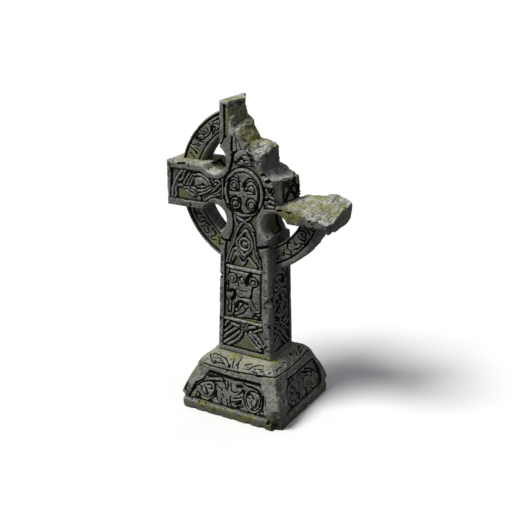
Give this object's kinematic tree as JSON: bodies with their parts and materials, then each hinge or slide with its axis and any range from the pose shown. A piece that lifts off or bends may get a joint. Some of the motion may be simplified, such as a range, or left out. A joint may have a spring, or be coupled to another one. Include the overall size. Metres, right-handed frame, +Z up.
{
  "type": "stone wheel cross headstone",
  "caption": "Weathered stone wheel cross with carved knotwork, part of its head broken away, standing on a carved sloping plinth.",
  "frame": {"origin": "centre of the plinth's flat underside, on the ground", "axes": "+Z up the shaft, -Y towards the carved front, +X towards the viewer's right when facing the front, the side of the broken arm"},
  "size_m": [0.9185, 0.548, 1.6],
  "materials": {
    "cross_stone": "weathered grey stone with lichen and moss",
    "plinth_stone": "weathered grey stone with lichen and moss"
  },
  "bodies": {
    "root": {"cross": "cross_stone", "plinth": "plinth_stone"}
  },
  "joints": []
}
